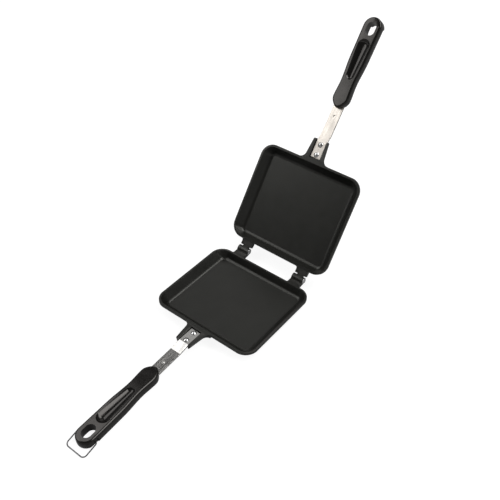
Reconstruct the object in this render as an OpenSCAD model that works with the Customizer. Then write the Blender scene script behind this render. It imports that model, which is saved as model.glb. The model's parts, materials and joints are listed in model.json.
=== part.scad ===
// A pie iron for cooking sandwiches over a fire or a hob, lying open.
//
// Two square pans are hinged together at one edge, and each has a handle at the
// opposite edge. Both halves share one frame: X runs along the hinge, Y runs from
// the hinge axis towards the handle, and Z rises from the plane where the two
// halves meet, towards the other half. The part's own origin is the middle of the
// lower pan's flat base, and its XY plane is level when the open iron stands on a
// table, on the hinge edge of that base and on the heel of the lower handle. All
// sizes are in millimetres and all angles in degrees.

/* [Pans] */
// Width of each pan across its rim
pan_w = 146; // [120:1:180]
// Length of each pan from its hinge edge to its handle edge
pan_l = 128; // [100:1:170]
// Depth of each pan below the plane where the halves meet
pan_depth = 10.5; // [9:0.5:16]
// Corner radius of the rim
rim_r = 17; // [12:1:24]
// Width of the flat land on the rim
rim_land = 2.6; // [2:0.1:4]
// Thickness of the rim flange
rim_t = 3.2; // [1.4:0.1:4]
// Gap left between the two rims when the iron is shut
rim_gap = 0.3; // [0.2:0.1:0.8]
// Thickness of the sloping walls
wall_t = 2.2; // [1.6:0.1:3]
// Slope of the side walls and the handle wall, measured from upright
wall_draft = 40; // [25:1:44]
// Slope of the inside of the wall at the hinge, measured from upright
hinge_draft = 22; // [20:1:34]
// Distance of the outside of the wall at the hinge from the edge of the rim above it
hinge_wall_inset = 0.3; // [0.2:0.1:2]
// Slope of the outside of the wall at the hinge, measured from upright
hinge_back_draft = 1; // [1:1:20]
// Thickness of the flat base
base_t = 2.5; // [2:0.1:5]
// Radius inside, where the walls meet the base
floor_r = 5; // [2:0.5:6]
// Radius outside, where the walls meet the base
base_r = 0.5; // [0.5:0.25:2.5]

/* [Hinges] */
// Distance from the hinge axis to the edge of the rim
hinge_reach = 12.8; // [11:0.1:20]
// Distance of the middle of each hinge from the side of the pan
hinge_inset = 29.8; // [26:0.1:38]
// Width of each hinge
hinge_w = 16.5; // [14:0.5:22]
// Radius of the ears round the pin
ear_r = 4.2; // [3.8:0.1:5]
// Thickness of each ear
ear_t = 4; // [3:0.25:5]
// Clearance between each ear and the tongue beside it
tongue_gap = 0.2; // [0.1:0.05:0.5]
// Clearance between a knuckle and the arm that faces it
knuckle_gap = 1.2; // [0.8:0.1:2]
// Depth of the upper face of each hinge arm below the meeting plane
arm_drop = 0.5; // [0.3:0.1:1]
// Height of each hinge arm where it joins the wall of the pan
arm_t = 6; // [5:0.5:8]
// Radius of the fillets where each arm meets the rim
arm_fillet = 2.2; // [1:0.1:4]
// Diameter of the hinge pins
pin_d = 4; // [3:0.1:5]
// Radial clearance of each pin in its bores
pin_gap = 0.03; // [0.01:0.01:0.08]
// Diameter of the domed pin heads
pin_head_d = 7.6; // [6:0.1:8]
// Height of the domed pin heads
pin_head_h = 1.7; // [1:0.1:3]
// Diameter of the peened pin tails
pin_tail_d = 6; // [5:0.1:8]
// Height of the peened pin tails
pin_tail_h = 1.1; // [0.5:0.1:2]
// Angle between the two halves when the iron is fully open
open_angle = 125; // [90:1:130]
// Height of the heel that stops the upper half there
heel_h = 3.2; // [2.4:0.1:3.4]
// Gap at the stop when the iron is fully open
stop_gap = 0.1; // [0.05:0.05:0.3]

/* [Necks] */
// Length of the neck beyond the rim
neck_l = 27.7; // [22:0.1:40]
// Width of the neck where it meets the rim, without its fillets
neck_root_w = 28.6; // [24:0.2:40]
// Width of the neck at its free end
neck_end_w = 22; // [20:0.2:30]
// Depth of the underside of the neck below the meeting plane
neck_depth = 6.6; // [6:0.1:8]
// Slope of the sides of the neck, measured from upright
neck_draft = 23; // [5:1:25]
// Radius of the fillets where the neck meets the rim
neck_fillet = 8; // [3:0.5:12]
// Corner radius at the free end of the neck
neck_end_r = 1.6; // [0.5:0.1:3]
// Distance from the rim to the closed end of the channel that holds the strap
channel_inset = 3.6; // [2:0.1:6]
// Distance from the strap's first bend back to the end of the channel's floor
floor_inset = 1; // [0.5:0.1:2]

/* [Straps] */
// Width of the steel strap
strap_w = 14; // [11:0.1:16]
// Thickness of the steel strap
strap_t = 2; // [1.4:0.1:2.4]
// Depth of the strap's riveted face below the meeting plane
strap_drop = 2; // [1.8:0.1:3]
// Clearance round the strap in the channel of the neck
strap_gap = 0.5; // [0.3:0.1:1]
// Clearance between the strap's end and the closed end of the channel
strap_end_gap = 0.9; // [0.5:0.1:2]
// Distance from the free end of the neck back to the strap's first bend
bend_inset = 2.2; // [1.5:0.1:4]
// Length of the step that the lower strap makes between its two bends
lower_step_l = 14.6; // [8:0.1:20]
// Length of the step that the upper strap makes between its two bends
upper_step_l = 9.6; // [8:0.1:20]
// Radius of the two bends, on the strap's upper face
bend_r = 3.5; // [2.5:0.1:5]
// Length of the strap inside the handle
tang_l = 88; // [50:1:90]
// Diameter of the shallow punch mark on the strap
mark_d = 3.6; // [2:0.1:5]
// Depth of the punch mark
mark_depth = 0.35; // [0.1:0.05:0.6]
// Distance from the handle's nose back to the punch mark
mark_inset = 10; // [6:0.5:16]

/* [Rivets] */
// Diameter of the rivet shanks
rivet_d = 3.96; // [3:0.02:5]
// Radial clearance of each rivet in its holes
rivet_gap = 0.02; // [0.01:0.01:0.05]
// Diameter of the domed rivet heads
rivet_head_d = 7; // [6:0.1:8]
// Height of the domed rivet heads
rivet_head_h = 1.7; // [1:0.1:1.7]
// Diameter of the rivet tails under the neck
rivet_tail_d = 6.2; // [5:0.1:8]
// Height of the rivet tails under the neck
rivet_tail_h = 1; // [0.5:0.1:2]
// Distance from the strap's end to the inner rivet
rivet_inset = 4; // [3.5:0.1:6]
// Distance between the two rivets
rivet_pitch = 13.2; // [9:0.1:14]

/* [Handles] */
// Length of each handle
handle_l = 116; // [105:0.5:150]
// Thickness of each handle
handle_t = 12; // [11:0.5:18]
// Distance from the end of the neck to the nose of the handle
handle_gap = 43.2; // [30:0.1:60]
// Depth of the handle's face below the meeting plane, at its nose
handle_drop = 1.4; // [1:0.1:4]
// Slope of the handle away from the meeting plane
handle_tilt = 3.7; // [2:0.1:5]
// Depth of the lower strap below the lower handle's face
lower_tang_drop = 5.2; // [4.8:0.1:8]
// Depth of the upper strap below the upper handle's face
upper_tang_drop = 7.2; // [4.8:0.1:8]
// Clearance round the strap inside the handle
tang_gap = 0.05; // [0.02:0.01:0.2]
// Length of the rounded nose
nose_l = 13; // [9:0.5:16]
// How far the nose narrows towards its end, as a share of its width
nose_taper = 0.3; // [0:0.05:0.5]
// Width of the handle behind its nose
nose_w = 21.4; // [20:0.2:26]
// Width of the handle at its waist
waist_w = 19.2; // [17:0.2:24]
// Distance from the nose to the waist
waist_t = 33; // [26:0.5:40]
// Width of the handle along its grip
grip_w = 22.8; // [20:0.2:28]
// Distance from the nose to where the grip is fully wide
grip_t = 64; // [50:1:70]
// Width of the handle at its tip
tip_w = 23.6; // [22:0.2:30]
// Rounding round the handle's face
face_r = 2.6; // [1:0.1:3]
// Rounding round the handle's back
back_r = 2.5; // [0.5:0.1:3]
// Width of the hanging hole
hole_w = 12; // [8:0.2:13]
// Length of the hanging hole
hole_l = 17; // [13:0.1:20]
// Distance from the end of the handle to the middle of the hanging hole
hole_inset = 15; // [12:0.1:18]
// Distance from the nose to the narrow end of the thumb groove
groove_t = 36; // [30:1:44]
// Length of the thumb groove
groove_l = 52; // [40:1:54]
// Width of the thumb groove at its narrow end
groove_near_w = 11; // [8:0.2:12]
// Width of the thumb groove at its wide end
groove_far_w = 16; // [12:0.2:16.4]
// Depth of the thumb groove at its narrow end
groove_near_d = 3; // [1.5:0.1:3.5]
// Depth of the thumb groove at its wide end
groove_far_d = 3.6; // [1.5:0.1:4]

/* [Latch] */
// Depth of the flat cheeks beside which the wire bail swings
cheek_in = 2; // [1:0.1:2.4]
// Depth of the upper edge of the cheeks below the handle's face
cheek_drop = 3.4; // [3:0.1:4.4]
// Distance from the end of the handle to the start of the cheeks
cheek_inset = 17; // [15:0.5:22]
// Height of the catch on the back of the upper handle
catch_h = 3; // [1:0.1:4]
// Length of the catch
catch_l = 9.5; // [4:0.5:12]
// Diameter of the wire of the bail
wire_d = 1.4; // [1.2:0.1:2]
// Radial clearance of the wire in its holes
wire_gap = 0.05; // [0.02:0.01:0.1]
// Distance from the end of the handle to the bail's pivot
pivot_inset = 12.5; // [11:0.1:16]
// Depth of the bail's pivot below the handle's face
pivot_drop = 6.5; // [5.5:0.1:7]
// Distance from the bail's pivot to the middle of its crossbar
bail_l = 19.5; // [17:0.1:26]
// Clearance between each leg of the bail and the side of the handle
bail_gap = 1.2; // [0.8:0.1:3]
// Depth of the bail's ends in the handle
bail_grip = 2.6; // [2:0.1:3.2]
// Radius of the two corners beside the crossbar
bail_corner_r = 4.6; // [3:0.1:7]
// Angle of the bail below the line of the handle as it lies at rest
bail_droop = 12; // [0:0.1:30]

/* [Hidden] */
$fn = 64;
// How far a cutting shape runs past the face that it cuts
past = 1;
// Segments in a quarter of a rounded corner
corner_steps = 8;
// Straight length of each stub of the bail outside the handle
stub_l = 0.2;

// Pan heights, from the rim's face down
rim_h = -rim_gap / 2;
floor_d = pan_depth + rim_h;
body_d = floor_d + base_t;
far_y = hinge_reach + pan_l;
mating_z = pan_depth + base_t;

// Hinge
hinge_x = pan_w / 2 - hinge_inset;
tongue_r = ear_r - tongue_gap;
slot_w = hinge_w - 2 * ear_t;
tongue_w = slot_w - 2 * tongue_gap;
slot_y = tongue_r + knuckle_gap;
arm_y = ear_r + knuckle_gap;
arm_bottom = arm_drop + arm_t;
bore_r = pin_d / 2 + pin_gap;

// Neck and strap
neck_y = far_y + neck_l;
channel_y = far_y + channel_inset;
channel_w = strap_w + 2 * strap_gap;
strap_y = channel_y + strap_end_gap;
bend_y = neck_y - bend_inset;
rivet_ys = [strap_y + rivet_inset, strap_y + rivet_inset + rivet_pitch];
handle_y = neck_y + handle_gap;

// Handle, measured along itself from the nose
tip_t = handle_l - tip_w / 2;
hole_t = handle_l - hole_inset;
pivot_t = handle_l - pivot_inset;

// Latch, across the handle
bail_x = tip_w / 2 + bail_gap + wire_d / 2;
bend_in_r = bail_gap + wire_d / 2 - stub_l;

// Insets of the pan's surfaces from the rim's edge, at a depth below the rim's face

// Inset of a sloping wall that a fillet of radius r carries into the level face at depth bottom
function slope_inset(start, draft, d, bottom, r) =
    let (centre_d = bottom - r, touch_d = centre_d + r * sin(draft))
    d < touch_d
        ? start + d * tan(draft)
        : start + touch_d * tan(draft) + r * cos(draft) - sqrt(max(0, r * r - pow(d - centre_d, 2)));

function cavity_inset(draft, d) = slope_inset(rim_land, draft, d, floor_d, floor_r);

// Inset of the outside of the side walls and the handle wall
function outer_inset(d) = slope_inset(rim_land - wall_t / cos(wall_draft), wall_draft, d, body_d, base_r);

// Inset of the outside of the wall at the hinge
function hinge_outer_inset(d) = slope_inset(hinge_wall_inset, hinge_back_draft, d, body_d, base_r);

// Depths at which rings follow a fillet of radius r down to the level face at depth bottom
function fillet_depths(bottom, r) =
    let (start = min(wall_draft, hinge_draft, hinge_back_draft))
    [for (i = [0 : corner_steps]) bottom - r + r * sin(start + (90 - start) * i / corner_steps)];

function arc(centre, r, from, to, steps) =
    [for (i = [0 : steps]) let (a = from + (to - from) * i / steps) centre + r * [cos(a), sin(a)]];

// Rounded outline of the pan at one height, drawn in by side, and by hinge at the hinge edge
function pan_ring(side, hinge, z) =
    let (
        r = max(rim_r - side, floor_r / 2),
        x = pan_w / 2 - side - r,
        near = hinge_reach + hinge + r,
        far = far_y - side - r
    )
    [for (corner = [[x, near, -90], [x, far, 0], [-x, far, 90], [-x, near, 180]])
        each [for (p = arc([corner[0], corner[1]], r, corner[2], corner[2] + 90, corner_steps)) [p[0], p[1], z]]];

function cavity_ring(d, z) = pan_ring(cavity_inset(wall_draft, d), cavity_inset(hinge_draft, d), z);

function outer_ring(d) = pan_ring(outer_inset(d), hinge_outer_inset(d), rim_h - d);

// The flat base reaches from here to here
base_near_y = hinge_reach + hinge_outer_inset(body_d);
base_far_y = far_y - outer_inset(body_d);
hinge_y = (base_near_y + base_far_y) / 2;

// The open iron leans by this angle, from its flat base on to the heel of the lower handle
heel = handle_point(handle_l - back_r, -handle_t);
rest_tilt = atan2(-heel[1] - mating_z, heel[0] - base_near_y);

// Closed solid through rings of points that all have the same count, from the lowest ring up
module loft(rings) {
    n = len(rings[0]);
    last = len(rings) - 1;
    walls = [for (j = [0 : last - 1], i = [0 : n - 1])
        let (a = j * n + i, b = j * n + (i + 1) % n)
        each [[a, b + n, b], [a, a + n, b + n]]];
    ends = [[for (i = [0 : n - 1]) i], [for (i = [n - 1 : -1 : 0]) last * n + i]];
    polyhedron([for (ring = rings) each ring], concat(ends, walls));
}

// An outline in Y and Z, given thickness along X
module across(w) {
    rotate([90, 0, 90])
        linear_extrude(w, center = true)
            children();
}

// A cap of a sphere on the XY plane
module dome(d, h) {
    r = (d * d / 4 + h * h) / (2 * h);
    intersection() {
        translate([0, 0, h - r])
            sphere(r);
        cylinder(d = d + past, h = h);
    }
}

// A headed pin along Z, with its grip from -grip to 0 and its head above
module headed_pin(d, grip, head_d, head_h, tail_d, tail_h) {
    dome(head_d, head_h);
    translate([0, 0, -grip])
        cylinder(d = d, h = grip);
    translate([0, 0, -grip])
        mirror([0, 0, 1])
            dome(tail_d, tail_h);
}

// Pans

module rim_outline() {
    x = pan_w / 2 - rim_r;
    for (cx = [-x, x], cy = [hinge_reach + rim_r, far_y - rim_r])
        translate([cx, cy])
            circle(rim_r);
    translate([-x, hinge_reach])
        square([2 * x, pan_l]);
    translate([-pan_w / 2, hinge_reach + rim_r])
        square([pan_w, pan_l - 2 * rim_r]);
}

module pan_body() {
    translate([0, 0, rim_h - rim_t])
        linear_extrude(rim_t)
            rim_outline();
    depths = concat([rim_t / 2], fillet_depths(body_d, base_r));
    loft([for (i = [len(depths) - 1 : -1 : 0]) outer_ring(depths[i])]);
}

module pan_cavity() {
    depths = fillet_depths(floor_d, floor_r);
    rings = [for (i = [len(depths) - 1 : -1 : 0]) cavity_ring(depths[i], rim_h - depths[i])];
    loft(concat(rings, [cavity_ring(0, rim_h), cavity_ring(0, rim_h + past)]));
}

// Point where a line from p touches a circle of radius r round the hinge axis
function touch(p, r, side) =
    let (a = atan2(p[1], p[0]) + side * acos(r / norm(p)))
    r * [cos(a), sin(a)];

// Side of a hinge arm, from its knuckle of radius r to inside the wall of the pan
module arm_profile(r, start) {
    root = hinge_reach + hinge_outer_inset(arm_bottom + rim_h) + wall_t / 2;
    top = [start, -arm_drop];
    bottom = [root, -arm_bottom];
    circle(r);
    polygon([touch(top, r, 1), top, [root, -arm_drop], bottom, touch(bottom, r, -1)]);
}

// Fillets between an arm and the edge of the rim
module arm_fillets() {
    translate([0, 0, rim_h - rim_t])
        linear_extrude(rim_t - rim_h - arm_drop)
            for (side = [-1, 1])
                difference() {
                    translate([side * hinge_w / 2, hinge_reach])
                        square(2 * arm_fillet, center = true);
                    translate([side * (hinge_w / 2 + arm_fillet), hinge_reach - arm_fillet])
                        circle(arm_fillet);
                }
}

module at_hinges() {
    for (x = [-hinge_x, hinge_x])
        translate([x, 0, 0])
            children();
}

module pin_bore() {
    rotate([0, 90, 0])
        cylinder(r = bore_r, h = hinge_w + 2 * past, center = true);
}

// Plan of one side of the neck, with a fillet at its root
function neck_side() =
    let (
        lean = atan2((neck_root_w - neck_end_w) / 2, neck_l),
        fillet_x = neck_root_w / 2 + neck_fillet * (1 - sin(lean)) / cos(lean),
        root_y = far_y - outer_inset(neck_depth + rim_h) - wall_t / 2,
        fillet = arc([fillet_x, far_y + neck_fillet], neck_fillet, 270, 180 + lean, corner_steps),
        tip = arc([neck_end_w / 2 - neck_end_r, neck_y - neck_end_r], neck_end_r, 0, 90, corner_steps)
    )
    concat([[fillet_x, root_y]], fillet, tip);

// The neck narrows from its top to its underside
module neck() {
    side = neck_side();
    other = [for (i = [len(side) - 1 : -1 : 0]) [-side[i][0], side[i][1]]];
    height = neck_depth + rim_h;
    translate([0, 0, rim_h])
        mirror([0, 0, 1])
            linear_extrude(height, scale = [1 - 2 * height * tan(neck_draft) / neck_root_w, 1], slices = 1)
                polygon(concat(side, other));
}

// Channel that holds the strap, open past its first bend
module neck_channel() {
    floor_y = bend_y - floor_inset;
    translate([-channel_w / 2, channel_y, -strap_drop - strap_t])
        cube([channel_w, neck_l, neck_depth]);
    translate([-channel_w / 2, floor_y, -neck_depth - past])
        cube([channel_w, neck_l, neck_depth + past]);
}

module rivet_holes() {
    for (y = rivet_ys)
        translate([0, y, -neck_depth - past])
            cylinder(r = rivet_d / 2 + rivet_gap, h = neck_depth + 2 * past);
}

module pan_blank() {
    pan_body();
    neck();
    at_hinges()
        arm_fillets();
}

module pan_cuts() {
    pan_cavity();
    neck_channel();
    rivet_holes();
    at_hinges()
        pin_bore();
}

// Lower half: each arm is forked into two ears
module lower_pan_shape() {
    difference() {
        union() {
            pan_blank();
            at_hinges()
                across(hinge_w)
                    arm_profile(ear_r, slot_y);
        }
        pan_cuts();
        at_hinges()
            translate([0, slot_y - 2 * ear_r - past, 0])
                cube([slot_w, 4 * ear_r + 2 * past, 4 * arm_bottom], center = true);
    }
}

// Upper half: each arm narrows to a tongue, with a heel that stops it fully open
module upper_pan_shape() {
    side_w = (hinge_w - tongue_w) / 2 + past;
    difference() {
        union() {
            pan_blank();
            at_hinges()
                difference() {
                    across(hinge_w)
                        arm_profile(tongue_r, arm_y);
                    for (side = [-1, 1])
                        translate([side * (tongue_w + side_w) / 2, arm_y - 2 * ear_r - past, 0])
                            cube([side_w, 4 * ear_r + 2 * past, 4 * arm_bottom], center = true);
                }
            at_hinges()
                rotate([open_angle - 180, 0, 0])
                    translate([-tongue_w / 2, stop_gap - slot_y, -heel_h])
                        cube([tongue_w, slot_y - stop_gap - pin_d / 2, heel_h - tongue_gap]);
        }
        pan_cuts();
    }
}

// Straps

// Depth of the strap's upper face at a distance y from the hinge, on the stretch that enters the handle
function tang_z(y, tang_drop) =
    -handle_drop - tang_drop / cos(handle_tilt) - (y - handle_y) * tan(handle_tilt);

function handle_point(t, v) =
    [handle_y + t * cos(handle_tilt) + v * sin(handle_tilt), -handle_drop - t * sin(handle_tilt) + v * cos(handle_tilt)];

function unit(v) = v / norm(v);

// Points round a bend of radius r at b, on the way from a to c
function bend(a, b, c, r) =
    let (
        u = unit(a - b),
        w = unit(c - b),
        half = acos(u * w) / 2,
        centre = b + unit(u + w) * r / sin(half),
        from = b + u * r / tan(half) - centre,
        to = b + w * r / tan(half) - centre,
        a0 = atan2(from[1], from[0]),
        turn = (atan2(to[1], to[0]) - a0 + 540) % 360 - 180
    )
    arc(centre, r, a0, a0 + turn, corner_steps);

// The same line moved square to itself by t
function moved(line, t) =
    [for (i = [0 : len(line) - 1])
        let (
            before = line[max(i - 1, 0)],
            after = line[min(i + 1, len(line) - 1)],
            along = unit(after - before)
        )
        line[i] + t * [along[1], -along[0]]];

// The riveted stretch, a step down and the tang, joined by two round bends
module strap_shape(step_l, tang_drop) {
    start = [strap_y, -strap_drop];
    first = [bend_y, -strap_drop];
    second = [bend_y + step_l, tang_z(bend_y + step_l, tang_drop)];
    end = handle_point(tang_l, -tang_drop);
    top = concat([start], bend(start, first, second, bend_r), bend(first, second, end, bend_r - strap_t / 2), [end]);
    under = moved(top, strap_t);
    mark = handle_point(-mark_inset, -tang_drop);
    mark_r = (mark_d * mark_d / 4 + mark_depth * mark_depth) / (2 * mark_depth);
    difference() {
        across(strap_w)
            polygon(concat(top, [for (i = [len(under) - 1 : -1 : 0]) under[i]]));
        rivet_holes();
        translate([0, mark[0], mark[1] + mark_r - mark_depth])
            sphere(mark_r);
    }
}

module rivet(i) {
    translate([0, rivet_ys[i], -strap_drop])
        headed_pin(rivet_d, neck_depth - strap_drop, rivet_head_d, rivet_head_h, rivet_tail_d, rivet_tail_h);
}

// Handles, drawn along Y from the nose, with the face at Z = 0

module handle_frame() {
    translate([0, handle_y, -handle_drop])
        rotate([-handle_tilt, 0, 0])
            children();
}

function smooth(f) = f * f * (3 - 2 * f);

// Half of the handle's width between two stations
function eased(t, t0, w0, t1, w1) = (w0 + (w1 - w0) * smooth((t - t0) / (t1 - t0))) / 2;

// Half of the handle's width at a distance t from the nose, between the nose and the tip
function grip_half(t) =
    t < waist_t ? eased(t, nose_l, nose_w, waist_t, waist_w) :
    t < grip_t ? eased(t, waist_t, waist_w, grip_t, grip_w) :
    eased(t, grip_t, grip_w, tip_t, tip_w);

// One side of the handle's outline: the nose, the grip and the round tip
function handle_side() = concat(
    [for (i = [0 : corner_steps - 1])
        let (u = cos(90 * i / corner_steps))
        [nose_w / 2 * sqrt(1 - u * u) * (1 - nose_taper * u * u), nose_l * (1 - u)]],
    [for (i = [0 : 2 * corner_steps - 1])
        let (t = nose_l + (tip_t - nose_l) * i / (2 * corner_steps))
        [grip_half(t), t]],
    arc([0, tip_t], tip_w / 2, 0, 90, corner_steps));

function handle_outline() =
    let (side = handle_side(), n = len(side))
    concat(side, [for (i = [n - 2 : -1 : 1]) [-side[i][0], side[i][1]]]);

// The handle's outline drawn in by inset, at height z
function handle_ring(outline, inset, z) =
    let (n = len(outline))
    [for (i = [0 : n - 1])
        let (
            along = unit(outline[(i + 1) % n] - outline[(i + n - 1) % n]),
            p = outline[i] - inset * [along[1], -along[0]]
        )
        [p[0], p[1], z]];

module handle_blank(thickness) {
    outline = handle_outline();
    steps = corner_steps / 2;
    back = [for (i = [0 : steps])
        let (a = 90 * i / steps)
        handle_ring(outline, back_r * (1 - sin(a)), -thickness + back_r * (1 - cos(a)))];
    face = [for (i = [0 : steps])
        let (a = 90 * i / steps)
        handle_ring(outline, face_r * (1 - cos(a)), face_r * (sin(a) - 1))];
    loft(concat(back, face));
}

// A ball that cuts a dish of the given width and depth into the face, at a distance t from the nose
module dish(t, w, d) {
    r = (w * w / 4 + d * d) / (2 * d);
    translate([0, t, r - d])
        sphere(r, $fn = 32);
}

module thumb_groove() {
    hull() {
        dish(groove_t + groove_near_w / 2, groove_near_w, groove_near_d);
        dish(groove_t + groove_l - groove_far_w / 2, groove_far_w, groove_far_d);
    }
}

module hanging_hole() {
    r = hole_w / 2;
    depth = handle_t + catch_h + 2 * past;
    translate([0, hole_t, past - depth])
        linear_extrude(depth) {
            for (y = [r - hole_l / 2, hole_l / 2 - r])
                translate([0, y])
                    circle(r);
            square([hole_w, hole_l - hole_w], center = true);
        }
}

module tang_slot(tang_drop) {
    translate([-strap_w / 2 - tang_gap, -past, -tang_drop - strap_t - tang_gap])
        cube([strap_w + 2 * tang_gap, tang_l + past + tang_gap, strap_t + 2 * tang_gap]);
}

module handle_cuts(tang_drop) {
    thumb_groove();
    hanging_hole();
    tang_slot(tang_drop);
}

module lower_handle_shape() {
    cheek_x = tip_w / 2 - cheek_in;
    difference() {
        handle_blank(handle_t);
        handle_cuts(lower_tang_drop);
        for (side = [0, 1])
            mirror([side, 0, 0]) {
                translate([cheek_x, handle_l - cheek_inset, -handle_t - past])
                    cube([tip_w, cheek_inset + past, handle_t + past - cheek_drop]);
                translate([cheek_x, pivot_t, -pivot_drop])
                    rotate([0, 90, 0])
                        cylinder(r = wire_d / 2 + wire_gap, h = 2 * bail_grip + 2 * wire_gap, center = true);
            }
    }
}

module upper_handle_shape() {
    difference() {
        union() {
            handle_blank(handle_t);
            intersection() {
                handle_blank(handle_t + catch_h);
                translate([-tip_w, handle_l - catch_l, -handle_t - catch_h - past])
                    cube([2 * tip_w, catch_l + past, handle_t + catch_h]);
            }
        }
        handle_cuts(upper_tang_drop);
    }
}

// Latch: a bent wire, drawn with its pivot on the X axis and its crossbar towards +Y

module wire(l) {
    cylinder(d = wire_d, h = l);
}

// A quarter bend of the wire round the origin, from +X to +Y
module wire_bend(r) {
    rotate_extrude(angle = 90)
        translate([r, 0])
            circle(d = wire_d);
}

module bail_side() {
    bar_x = bail_x - bail_corner_r;
    stub_x = bail_x - bend_in_r;
    end_x = tip_w / 2 - cheek_in - bail_grip;
    translate([end_x, 0, 0])
        rotate([0, 90, 0])
            wire(stub_x - end_x);
    translate([stub_x, bend_in_r, 0])
        rotate([0, 0, -90])
            wire_bend(bend_in_r);
    translate([bail_x, bend_in_r, 0])
        rotate([-90, 0, 0])
            wire(bail_l - bail_corner_r - bend_in_r);
    translate([bar_x, bail_l - bail_corner_r, 0])
        wire_bend(bail_corner_r);
    translate([0, bail_l, 0])
        rotate([0, 90, 0])
            wire(bar_x);
}

module bail_shape() {
    translate([0, pivot_t, -pivot_drop])
        rotate([-bail_droop, 0, 0]) {
            bail_side();
            mirror([1, 0, 0])
                bail_side();
        }
}

// Places of the two halves

// The hinge axis, in the part's own frame
module at_hinge_axis() {
    rotate([-rest_tilt, 0, 0])
        translate([0, hinge_y, mating_z])
            children();
}

module lower_half() {
    at_hinge_axis()
        mirror([0, 1, 0])
            children();
}

module upper_half() {
    at_hinge_axis()
        rotate([180 - open_angle, 0, 0])
            children();
}

// Nodes

module lower_pan() {
    color([0.17, 0.17, 0.16])
        lower_half()
            lower_pan_shape();
}

module upper_pan() {
    color([0.17, 0.17, 0.16])
        upper_half()
            upper_pan_shape();
}

module hinge_pin(x) {
    color([0.78, 0.78, 0.8])
        at_hinge_axis()
            translate([x + hinge_w / 2, 0, 0])
                rotate([0, 90, 0])
                    headed_pin(pin_d, hinge_w, pin_head_d, pin_head_h, pin_tail_d, pin_tail_h);
}

module left_hinge_pin() {
    hinge_pin(-hinge_x);
}

module right_hinge_pin() {
    hinge_pin(hinge_x);
}

module lower_strap() {
    color([0.7, 0.7, 0.7])
        lower_half()
            strap_shape(lower_step_l, lower_tang_drop);
}

module upper_strap() {
    color([0.7, 0.7, 0.7])
        upper_half()
            strap_shape(upper_step_l, upper_tang_drop);
}

module lower_rivet(i) {
    color([0.8, 0.8, 0.8])
        lower_half()
            rivet(i);
}

module upper_rivet(i) {
    color([0.8, 0.8, 0.8])
        upper_half()
            rivet(i);
}

module lower_handle() {
    color([0.1, 0.1, 0.1])
        lower_half()
            handle_frame()
                lower_handle_shape();
}

module upper_handle() {
    color([0.1, 0.1, 0.1])
        upper_half()
            handle_frame()
                upper_handle_shape();
}

module latch_bail() {
    color([0.45, 0.45, 0.46])
        lower_half()
            handle_frame()
                bail_shape();
}

lower_pan();
upper_pan();
left_hinge_pin();
right_hinge_pin();
lower_strap();
upper_strap();
lower_rivet(0);  // lower_inner_rivet
lower_rivet(1);  // lower_outer_rivet
upper_rivet(0);  // upper_inner_rivet
upper_rivet(1);  // upper_outer_rivet
lower_handle();
upper_handle();
latch_bail();
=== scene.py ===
"""A pie iron for cooking sandwiches, standing open on a plain pale floor.

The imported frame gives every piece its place. Each sub-assembly of the iron is a class that rounds the edges of
its pieces and dresses them, and each finish is a small class that builds one procedural material.
"""

import json
import logging
import math
from dataclasses import dataclass, field
from enum import Enum

import bmesh
import bpy
from mathutils import Matrix, Vector

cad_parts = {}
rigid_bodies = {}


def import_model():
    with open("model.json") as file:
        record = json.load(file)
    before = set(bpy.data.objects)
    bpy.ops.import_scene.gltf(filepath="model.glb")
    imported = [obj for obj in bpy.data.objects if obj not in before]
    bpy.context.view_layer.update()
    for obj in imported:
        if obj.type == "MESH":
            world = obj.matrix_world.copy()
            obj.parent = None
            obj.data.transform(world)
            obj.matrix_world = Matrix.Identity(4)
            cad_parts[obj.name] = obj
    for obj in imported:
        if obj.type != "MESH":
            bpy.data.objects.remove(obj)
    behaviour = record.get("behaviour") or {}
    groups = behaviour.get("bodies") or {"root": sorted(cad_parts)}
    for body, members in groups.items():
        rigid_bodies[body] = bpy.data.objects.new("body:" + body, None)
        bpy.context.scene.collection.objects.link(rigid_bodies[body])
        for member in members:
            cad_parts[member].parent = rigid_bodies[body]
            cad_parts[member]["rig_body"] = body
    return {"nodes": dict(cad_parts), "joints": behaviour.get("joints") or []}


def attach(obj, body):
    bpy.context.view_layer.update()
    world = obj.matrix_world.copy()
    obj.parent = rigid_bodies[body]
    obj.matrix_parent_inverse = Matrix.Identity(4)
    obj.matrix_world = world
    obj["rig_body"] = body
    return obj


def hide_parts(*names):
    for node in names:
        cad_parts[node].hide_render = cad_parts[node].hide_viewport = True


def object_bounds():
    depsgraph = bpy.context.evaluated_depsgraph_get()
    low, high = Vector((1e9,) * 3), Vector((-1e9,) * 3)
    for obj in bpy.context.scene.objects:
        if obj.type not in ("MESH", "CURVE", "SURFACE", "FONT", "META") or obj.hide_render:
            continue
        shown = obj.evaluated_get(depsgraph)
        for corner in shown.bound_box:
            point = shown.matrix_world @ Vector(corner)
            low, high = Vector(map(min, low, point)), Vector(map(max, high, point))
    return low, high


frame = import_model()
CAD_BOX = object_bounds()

logging.basicConfig(level=logging.INFO, format="%(name)s: %(message)s")
log = logging.getLogger("pie_iron")

MM = 0.001
WELD = 0.002 * MM
COPLANAR_DEG = 0.6

# Octaves of noise
EVEN, CLOUDY, MOTTLED = 2.0, 4.0, 5.0

# Sockets of a Mix node for colours
MIX_SHARE, MIX_FIRST, MIX_SECOND, MIX_RESULT = 0, 6, 7, 2

Colour = tuple[float, float, float]
Direction = tuple[float, float, float]
Span = tuple[float, float]
Socket = bpy.types.NodeSocket


class Half(Enum):
    """The two halves of the iron, as the names of their pieces begin."""

    LOWER = "lower"
    UPPER = "upper"


class Grain(Enum):
    """The direction in which a brushed metal was brushed, as a stretch of its noise along X, Y and Z."""

    ALONG_LOWER = (1.0, 0.03, 0.2)
    ALONG_UPPER = (1.0, 0.05, 0.05)
    NONE = (1.0, 1.0, 1.0)


# Node graphs


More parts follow.
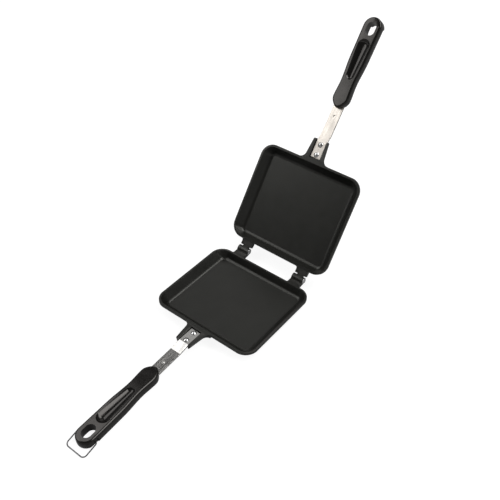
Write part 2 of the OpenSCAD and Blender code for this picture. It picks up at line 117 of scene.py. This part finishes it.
class Graph:
    """The node tree of one material, with short calls to add and join its nodes."""

    def __init__(self, name: str) -> None:
        """Starts a material with a Principled shader.

        Args:
            name: The material's name.
        """
        self.material = bpy.data.materials.new(name)
        self.material.use_nodes = True
        self.tree = self.material.node_tree
        self.shader = self.tree.nodes["Principled BSDF"]

    def add(self, kind: str, **values: object) -> bpy.types.Node:
        """Adds a node.

        Args:
            kind: The node's type.
            values: Its properties, and its inputs by name with spaces as underscores.

        Returns:
            The node.
        """
        node = self.tree.nodes.new(kind)
        for key, value in values.items():
            if hasattr(node, key):
                setattr(node, key, value)
            else:
                node.inputs[key.replace("_", " ")].default_value = value
        return node

    def join(self, source: Socket, target: Socket) -> None:
        """Joins an output to an input."""
        self.tree.links.new(source, target)

    def feed(self, value: Socket | float | Colour, target: Socket) -> None:
        """Joins an output to an input, or writes a number or a colour into it.

        Args:
            value: The output, the number or the colour.
            target: The input.
        """
        if isinstance(value, Socket):
            self.join(value, target)
        else:
            target.default_value = (*value, 1.0) if isinstance(value, tuple) else value

    def set(self, name: str, value: Socket | float | Colour) -> None:
        """Feeds one of the shader's inputs, by its name."""
        self.feed(value, self.shader.inputs[name])

    def coordinates(self, stretch: Direction = (1.0, 1.0, 1.0)) -> Socket:
        """Gives object coordinates, which are metres in the frame.

        Args:
            stretch: The scale along each axis.

        Returns:
            The socket with the scaled coordinates.
        """
        place = self.add("ShaderNodeTexCoord")
        mapping = self.add("ShaderNodeMapping")
        mapping.inputs["Scale"].default_value = stretch
        self.join(place.outputs["Object"], mapping.inputs["Vector"])
        return mapping.outputs["Vector"]

    def noise(self, scale: float, detail: float = 3.0, where: Socket | None = None) -> Socket:
        """Adds a noise texture.

        Args:
            scale: How many features it has in a metre.
            detail: Its octaves.
            where: The coordinates, or None for plain object coordinates.

        Returns:
            The socket with its value, about 0.5 on average.
        """
        texture = self.add("ShaderNodeTexNoise", Scale=scale, Detail=detail)
        self.join(where or self.coordinates(), texture.inputs["Vector"])
        return texture.outputs["Fac"]

    def remap(self, value: Socket, low: float, high: float, to_low: float, to_high: float) -> Socket:
        """Maps a value from one range to another, clamped.

        Args:
            value: The socket to map.
            low: The value that becomes to_low.
            high: The value that becomes to_high.
            to_low: The result at low.
            to_high: The result at high.

        Returns:
            The socket with the result.
        """
        node = self.add("ShaderNodeMapRange", From_Min=low, From_Max=high, To_Min=to_low, To_Max=to_high)
        self.join(value, node.inputs["Value"])
        return node.outputs["Result"]

    def blend(self, share: Socket, first: Socket | Colour, second: Socket | Colour) -> Socket:
        """Blends two colours.

        Args:
            share: The socket that says how much of the second colour there is.
            first: The first colour, or its socket.
            second: The second colour, or its socket.

        Returns:
            The socket with the colour.
        """
        node = self.add("ShaderNodeMix", data_type="RGBA")
        self.feed(share, node.inputs[MIX_SHARE])
        self.feed(first, node.inputs[MIX_FIRST])
        self.feed(second, node.inputs[MIX_SECOND])
        return node.outputs[MIX_RESULT]

    def bump(self, height: Socket, depth: float, strength: float, under: Socket | None = None) -> Socket:
        """Adds a bump.

        Args:
            height: The socket with the height.
            depth: The depth in metres between heights 0 and 1.
            strength: How much of it shows.
            under: The normal of a bump below this one.

        Returns:
            The socket with the normal.
        """
        node = self.add("ShaderNodeBump", Strength=strength, Distance=depth)
        self.join(height, node.inputs["Height"])
        if under is not None:
            self.join(under, node.inputs["Normal"])
        return node.outputs["Normal"]

    def share(self, value: Socket, span: Span) -> Socket:
        """Maps a span of a value to the range from 0 to 1, clamped.

        Args:
            value: The socket to map.
            span: The values that become 0 and 1.

        Returns:
            The socket with the share.
        """
        return self.remap(value, *span, 0.0, 1.0)

    def edges(self, span: Span) -> Socket:
        """Finds the convex edges of the surface.

        Args:
            span: The pointiness at which an edge starts to show, and at which it shows in full.

        Returns:
            The socket that is 1 on the edges and 0 elsewhere.
        """
        return self.share(self.add("ShaderNodeNewGeometry").outputs["Pointiness"], span)


# Finishes


@dataclass(frozen=True)
class NonStickCoat:
    """The baked coating of a cast pan: near black, satin, with a fine grain and a paler edge where it wears."""

    colour: Colour = (0.0070, 0.0070, 0.0058)
    cloud: Colour = (0.0095, 0.0095, 0.0081)
    worn: Colour = (0.03, 0.029, 0.027)
    sheen: Colour = (1.0, 1.0, 0.95)
    clouds_per_m: float = 38.0
    cloud_span: Span = (0.35, 0.65)
    worn_pointiness: Span = (0.53, 0.62)
    roughness: float = 0.32
    roughness_spread: float = 0.03
    patches_per_m: float = 90.0
    patch_span: Span = (0.3, 0.7)
    pebbles_per_m: float = 420.0
    pebble_depth: float = 0.05 * MM
    pebble_strength: float = 0.03
    grain_per_m: float = 1400.0
    grain_depth: float = 0.03 * MM
    grain_strength: float = 0.05

    def material(self) -> bpy.types.Material:
        """Builds the material.

        Returns:
            The material of both pans.
        """
        graph = Graph("non_stick_coat")
        clouds = graph.share(graph.noise(self.clouds_per_m, CLOUDY), self.cloud_span)
        tone = graph.blend(clouds, self.colour, self.cloud)
        graph.set("Base Color", graph.blend(graph.edges(self.worn_pointiness), tone, self.worn))
        smooth, rough = self.roughness - self.roughness_spread, self.roughness + self.roughness_spread
        patches = graph.noise(self.patches_per_m, MOTTLED)
        graph.set("Roughness", graph.remap(patches, *self.patch_span, smooth, rough))
        pebbles = graph.bump(graph.noise(self.pebbles_per_m, EVEN), self.pebble_depth, self.pebble_strength)
        grain = graph.noise(self.grain_per_m, EVEN)
        graph.set("Normal", graph.bump(grain, self.grain_depth, self.grain_strength, pebbles))
        graph.set("Specular Tint", self.sheen)
        return graph.material


@dataclass(frozen=True)
class Phenolic:
    """Moulded black phenolic plastic, as handles are: glossy where it is handled, with a faint orange peel."""

    colour: Colour = (0.0042, 0.0039, 0.0036)
    rubbed: Colour = (0.014, 0.013, 0.012)
    sheen: Colour = (1.0, 0.96, 0.92)
    rubbed_pointiness: Span = (0.52, 0.6)
    smooth: float = 0.12
    smeared: float = 0.22
    smears_per_m: float = 60.0
    smear_span: Span = (0.3, 0.7)
    peel_per_m: float = 700.0
    peel_depth: float = 0.03 * MM
    peel_strength: float = 0.08

    def material(self) -> bpy.types.Material:
        """Builds the material.

        Returns:
            The material of both handles.
        """
        graph = Graph("black_phenolic")
        graph.set("Base Color", graph.blend(graph.edges(self.rubbed_pointiness), self.colour, self.rubbed))
        smears = graph.noise(self.smears_per_m, MOTTLED)
        graph.set("Roughness", graph.remap(smears, *self.smear_span, self.smooth, self.smeared))
        graph.set("Normal", graph.bump(graph.noise(self.peel_per_m, EVEN), self.peel_depth, self.peel_strength))
        graph.set("Specular Tint", self.sheen)
        return graph.material


@dataclass(frozen=True)
class Steel:
    """Bare steel, brushed or polished."""

    name: str
    colour: Colour = (0.62, 0.61, 0.6)
    dull: Colour = (0.5, 0.49, 0.47)
    stains_per_m: float = 55.0
    stain_span: Span = (0.4, 0.7)
    roughness: float = 0.3
    polished_by: float = 0.07
    scuffed_by: float = 0.09
    grain: Grain = Grain.NONE
    lines_per_m: float = 900.0
    line_span: Span = (0.3, 0.7)
    line_depth: float = 0.02 * MM
    line_strength: float = 0.35

    def material(self) -> bpy.types.Material:
        """Builds the material.

        Returns:
            The material, with the name of this steel.
        """
        graph = Graph(self.name)
        lines = graph.noise(self.lines_per_m, CLOUDY, graph.coordinates(self.grain.value))
        stains = graph.share(graph.noise(self.stains_per_m, CLOUDY), self.stain_span)
        smooth, rough = self.roughness - self.polished_by, self.roughness + self.scuffed_by
        graph.set("Base Color", graph.blend(stains, self.colour, self.dull))
        graph.set("Roughness", graph.remap(lines, *self.line_span, smooth, rough))
        graph.set("Normal", graph.bump(lines, self.line_depth, self.line_strength))
        graph.set("Metallic", 1.0)
        return graph.material


# Pieces


@dataclass(frozen=True)
class Edge:
    """How the edges of a piece are rounded.

    The width is in millimetres. Edges that turn by more than the angle, in degrees, are rounded. Faces larger than
    flat, in square millimetres, shade as flat up to their rounded edges, and smaller ones run into each other.
    """

    width: float
    segments: int = 3
    angle: float = 28.0
    flat: float = 0.0


def rounded(node: str, name: str, edge: Edge, finish: bpy.types.Material) -> bpy.types.Object:
    """Makes a piece of a CAD node's own form, with its flat faces cleaned and its edges rounded.

    Args:
        node: The CAD node, which the piece replaces.
        name: The piece's name.
        edge: How its edges are rounded.
        finish: Its material.

    Returns:
        The piece.
    """
    source = frame["nodes"][node]
    mesh = source.data.copy()
    mesh.name = name
    mesh.materials.clear()
    mesh.materials.append(finish)
    form = bmesh.new()
    form.from_mesh(mesh)
    bmesh.ops.remove_doubles(form, verts=form.verts, dist=WELD)
    bmesh.ops.dissolve_limit(form, angle_limit=math.radians(COPLANAR_DEG), verts=form.verts, edges=form.edges)
    form.verts.index_update()
    bend = math.radians(edge.angle)
    plain = {vert.index for side in form.edges if side.calc_face_angle(math.pi) > bend for vert in side.verts}
    for face in form.faces:
        face.smooth = True
        face.material_index = 0
        if face.calc_area() > edge.flat * MM * MM:
            plain.update(vert.index for vert in face.verts)
    form.to_mesh(mesh)
    form.free()
    if "custom_normal" in mesh.attributes:
        mesh.attributes.remove(mesh.attributes["custom_normal"])
    piece = bpy.data.objects.new(name, mesh)
    bpy.context.scene.collection.objects.link(piece)
    bevel = piece.modifiers.new("edges", "BEVEL")
    bevel.width = edge.width * MM
    bevel.segments = edge.segments
    bevel.limit_method = "ANGLE"
    bevel.angle_limit = math.radians(edge.angle)
    bevel.miter_outer = "MITER_ARC"
    piece.vertex_groups.new(name="plain").add(sorted(plain), 1.0, "REPLACE")
    weighted = piece.modifiers.new("normals", "WEIGHTED_NORMAL")
    weighted.keep_sharp = True
    weighted.vertex_group = "plain"
    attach(piece, source["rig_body"])
    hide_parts(node)
    log.info("%s stands for %s, with edges of %.2f mm", name, node, edge.width)
    return piece


@dataclass
class Pans:
    """The two castings."""

    coat: NonStickCoat = field(default_factory=NonStickCoat)
    edge: Edge = Edge(0.45, flat=400.0)

    def build(self) -> list[bpy.types.Object]:
        """Makes both pans.

        Returns:
            The pieces.
        """
        finish = self.coat.material()
        return [rounded(f"{half.value}_pan", f"{half.value}_pan_casting", self.edge, finish)
                for half in Half]


@dataclass
class Pins:
    """The two hinge pins."""

    steel: Steel = Steel("pin_steel", colour=(0.78, 0.78, 0.79), dull=(0.6, 0.6, 0.6), roughness=0.2)
    edge: Edge = Edge(0.12, 2, 40.0)

    def build(self) -> list[bpy.types.Object]:
        """Makes both pins.

        Returns:
            The pieces.
        """
        finish = self.steel.material()
        return [rounded(f"{side}_hinge_pin", f"{side}_pin_turned", self.edge, finish)
                for side in ("left", "right")]


@dataclass
class Straps:
    """The steel straps that carry the handles, and their rivets. The upper strap's paler, warmer steel colour is
    painted light, and the lower strap's darker steel colour is painted shade.
    """

    # One steel for both straps: the upper strap's paler, warmer colour is painted light, and the lower strap's darker
    # colour is painted shade.
    lower: Steel = Steel("lower_strap_steel_painted_shade", colour=(0.53, 0.52, 0.505), roughness=0.18,
                         grain=Grain.ALONG_LOWER, line_depth=0.008 * MM)
    upper: Steel = Steel("upper_strap_steel_painted_light", colour=(0.74, 0.69, 0.63), dull=(0.62, 0.58, 0.53), roughness=0.34,
                         grain=Grain.ALONG_UPPER, line_depth=0.01 * MM)
    rivet: Steel = Steel("rivet_steel", colour=(0.72, 0.72, 0.72), roughness=0.22)
    edge: Edge = Edge(0.25)
    rivet_edge: Edge = Edge(0.12, 2, 40.0)

    def build(self) -> list[bpy.types.Object]:
        """Makes both straps and the four rivets.

        Returns:
            The pieces.
        """
        steels = {Half.LOWER: self.lower, Half.UPPER: self.upper}
        pieces = []
        for half, steel in steels.items():
            node = f"{half.value}_strap"
            pieces.append(rounded(node, f"{node}_bent", self.edge, steel.material()))
        finish = self.rivet.material()
        for half in Half:
            for place in ("inner", "outer"):
                node = f"{half.value}_{place}_rivet"
                pieces.append(rounded(node, f"{node}_domed", self.rivet_edge, finish))
        return pieces


@dataclass
class Handles:
    """The two moulded handles."""

    plastic: Phenolic = field(default_factory=Phenolic)
    edge: Edge = Edge(0.6, 4, 24.0, 400.0)

    def build(self) -> list[bpy.types.Object]:
        """Makes both handles.

        Returns:
            The pieces.
        """
        finish = self.plastic.material()
        return [rounded(f"{half.value}_handle", f"{half.value}_handle_moulding", self.edge, finish)
                for half in Half]


@dataclass
class Latch:
    """The wire bail at the tip of the lower handle."""

    wire: Steel = Steel("bail_wire", colour=(0.2, 0.2, 0.205), dull=(0.12, 0.12, 0.12), roughness=0.35)
    edge: Edge = Edge(0.1, 2, 40.0)

    def build(self) -> list[bpy.types.Object]:
        """Makes the bail.

        Returns:
            The piece.
        """
        return [rounded("latch_bail", "bail_bent", self.edge, self.wire.material())]


# Studio


@dataclass(frozen=True)
class Softbox:
    """One rectangular lamp, far enough away to light every piece from about the same side."""

    name: str
    towards: Direction
    long_side: Direction
    length: float
    width: float
    glow: float
    distance: float = 3.0
    aim: Direction = (0.0, 0.02, 0.08)

    def build(self) -> bpy.types.Object:
        """Makes the lamp, at a power that gives its face the brightness asked for.

        Returns:
            The lamp.
        """
        lamp = bpy.data.lights.new(self.name, "AREA")
        lamp.shape = "RECTANGLE"
        lamp.size = self.width
        lamp.size_y = self.length
        lamp.energy = self.glow * math.pi * self.length * self.width
        piece = bpy.data.objects.new(self.name, lamp)
        bpy.context.scene.collection.objects.link(piece)
        back = Vector(self.towards).normalized()
        side = Vector(self.long_side).cross(back).normalized()
        turn = Matrix((side, back.cross(side), back)).transposed().to_4x4()
        piece.matrix_world = Matrix.Translation(Vector(self.aim) + back * self.distance) @ turn
        return piece


@dataclass
class Studio:
    """The floor, the lamps, the world and the camera."""

    lamps: tuple[Softbox, ...] = (
        Softbox("key_softbox", (-0.63, -0.265, 0.73), (-0.04, 0.94, 0.33), 3.3, 1.6, 2.55),
        Softbox("back_softbox", (0.435, 0.304, 0.849), (0.866, -0.442, -0.234), 3.4, 1.3, 4.8),
        Softbox("fill_softbox", (-0.45, 0.61, 0.65), (0.0, 0.0, 1.0), 1.5, 1.4, 0.5),
    )
    camera_from_hinge: Direction = (0.36985, -0.52316, 0.61506)
    camera_right: Direction = (0.789848, 0.613293, 0.003445)
    camera_down: Direction = (0.418212, -0.534481, -0.734458)
    focal_px: float = 691.456
    frame_px: float = 500.0
    sensor_mm: float = 36.0
    clip: Span = (0.01, 50.0)
    floor_size: float = 16.0
    floor_gap: float = 0.02 * MM
    card: Colour = (0.21, 0.21, 0.21)
    card_patch: Colour = (0.23, 0.23, 0.23)
    card_patches_per_m: float = 3.0
    card_roughness: float = 0.9
    card_shine: float = 0.1
    floor_glow: float = 0.9
    mirrored_glow: float = 0.12
    room_horizon: float = 1.0
    room_walls: float = 0.13
    room_ceiling: float = 0.10

    def camera(self) -> None:
        """Makes the camera, where the photograph was taken from."""
        hinge = next(j for j in frame["joints"] if j["name"] == "pan_hinge")
        right = Vector(self.camera_right).normalized()
        down = Vector(self.camera_down)
        back = right.cross(-down).normalized()
        data = bpy.data.cameras.new("photo_camera")
        data.sensor_width = self.sensor_mm
        data.lens = self.focal_px / self.frame_px * self.sensor_mm
        data.clip_start, data.clip_end = self.clip
        piece = bpy.data.objects.new("photo_camera", data)
        bpy.context.scene.collection.objects.link(piece)
        turn = Matrix((right, back.cross(right), back)).transposed().to_4x4()
        place = Vector(hinge["pos_m"]) + Vector(self.camera_from_hinge)
        piece.matrix_world = Matrix.Translation(place) @ turn
        bpy.context.scene.camera = piece

    def floor(self) -> None:
        """Lays the floor at the lowest point of the iron."""
        lowest = CAD_BOX[0][2]
        form = bmesh.new()
        bmesh.ops.create_grid(form, x_segments=1, y_segments=1, size=self.floor_size / 2)
        mesh = bpy.data.meshes.new("studio_floor")
        form.to_mesh(mesh)
        form.free()
        piece = bpy.data.objects.new("studio_floor", mesh)
        bpy.context.scene.collection.objects.link(piece)
        piece.location = (0.0, 0.0, lowest - self.floor_gap)
        mesh.materials.append(self.floor_finish())

    def floor_finish(self) -> bpy.types.Material:
        """Builds the floor's material: pale card that glows to plain white and keeps the iron's shadow.

        Returns:
            The floor's material.
        """
        graph = Graph("pale_floor")
        graph.set("Base Color", graph.blend(graph.noise(self.card_patches_per_m), self.card, self.card_patch))
        graph.set("Roughness", self.card_roughness)
        graph.set("Specular IOR Level", self.card_shine)
        path = graph.add("ShaderNodeLightPath")
        mirrored = graph.add("ShaderNodeMath", operation="MAXIMUM")
        graph.join(path.outputs["Is Glossy Ray"], mirrored.inputs[0])
        graph.join(path.outputs["Is Transmission Ray"], mirrored.inputs[1])
        share = graph.remap(mirrored.outputs[0], 0.0, 1.0, 0.0, self.mirrored_glow)
        glow = graph.add("ShaderNodeMath", operation="MULTIPLY_ADD")
        glow.inputs[1].default_value = self.floor_glow
        graph.join(path.outputs["Is Camera Ray"], glow.inputs[0])
        graph.join(share, glow.inputs[2])
        graph.set("Emission Strength", glow.outputs[0])
        graph.set("Emission Color", (1.0, 1.0, 1.0))
        return graph.material

    def world(self) -> None:
        """Makes the world: a pale room, white at the horizon and dimmer overhead."""
        world = bpy.data.worlds.new("pale_room")
        world.use_nodes = True
        bpy.context.scene.world = world
        tree = world.node_tree
        direction = tree.nodes.new("ShaderNodeTexCoord")
        split = tree.nodes.new("ShaderNodeSeparateXYZ")
        tree.links.new(direction.outputs["Generated"], split.inputs[0])
        by_height = tree.nodes.new("ShaderNodeFloatCurve")
        points = by_height.mapping.curves[0].points
        points[0].location = (0.0, self.room_horizon)
        points[1].location = (1.0, self.room_ceiling)
        bends = ((0.03, self.room_horizon), (0.12, self.room_walls), (0.5, self.room_walls), (0.66, self.room_ceiling))
        for height, level in bends:
            points.new(height, level).handle_type = "VECTOR"
        by_height.mapping.update()
        tree.links.new(split.outputs["Z"], by_height.inputs["Value"])
        sky = tree.nodes["Background"]
        sky.inputs["Color"].default_value = (1.0, 1.0, 1.0, 1.0)
        tree.links.new(by_height.outputs["Value"], sky.inputs["Strength"])

    def build(self) -> None:
        """Makes the whole studio."""
        bpy.context.scene.view_settings.view_transform = "Standard"
        self.camera()
        self.floor()
        self.world()
        for lamp in self.lamps:
            lamp.build()


def main() -> None:
    """Builds the studio and every sub-assembly."""
    Studio().build()
    for assembly in (Pans(), Pins(), Straps(), Handles(), Latch()):
        for piece in assembly.build():
            log.info("%s: %s", type(assembly).__name__, piece.name)


if __name__ == "__main__":
    main()
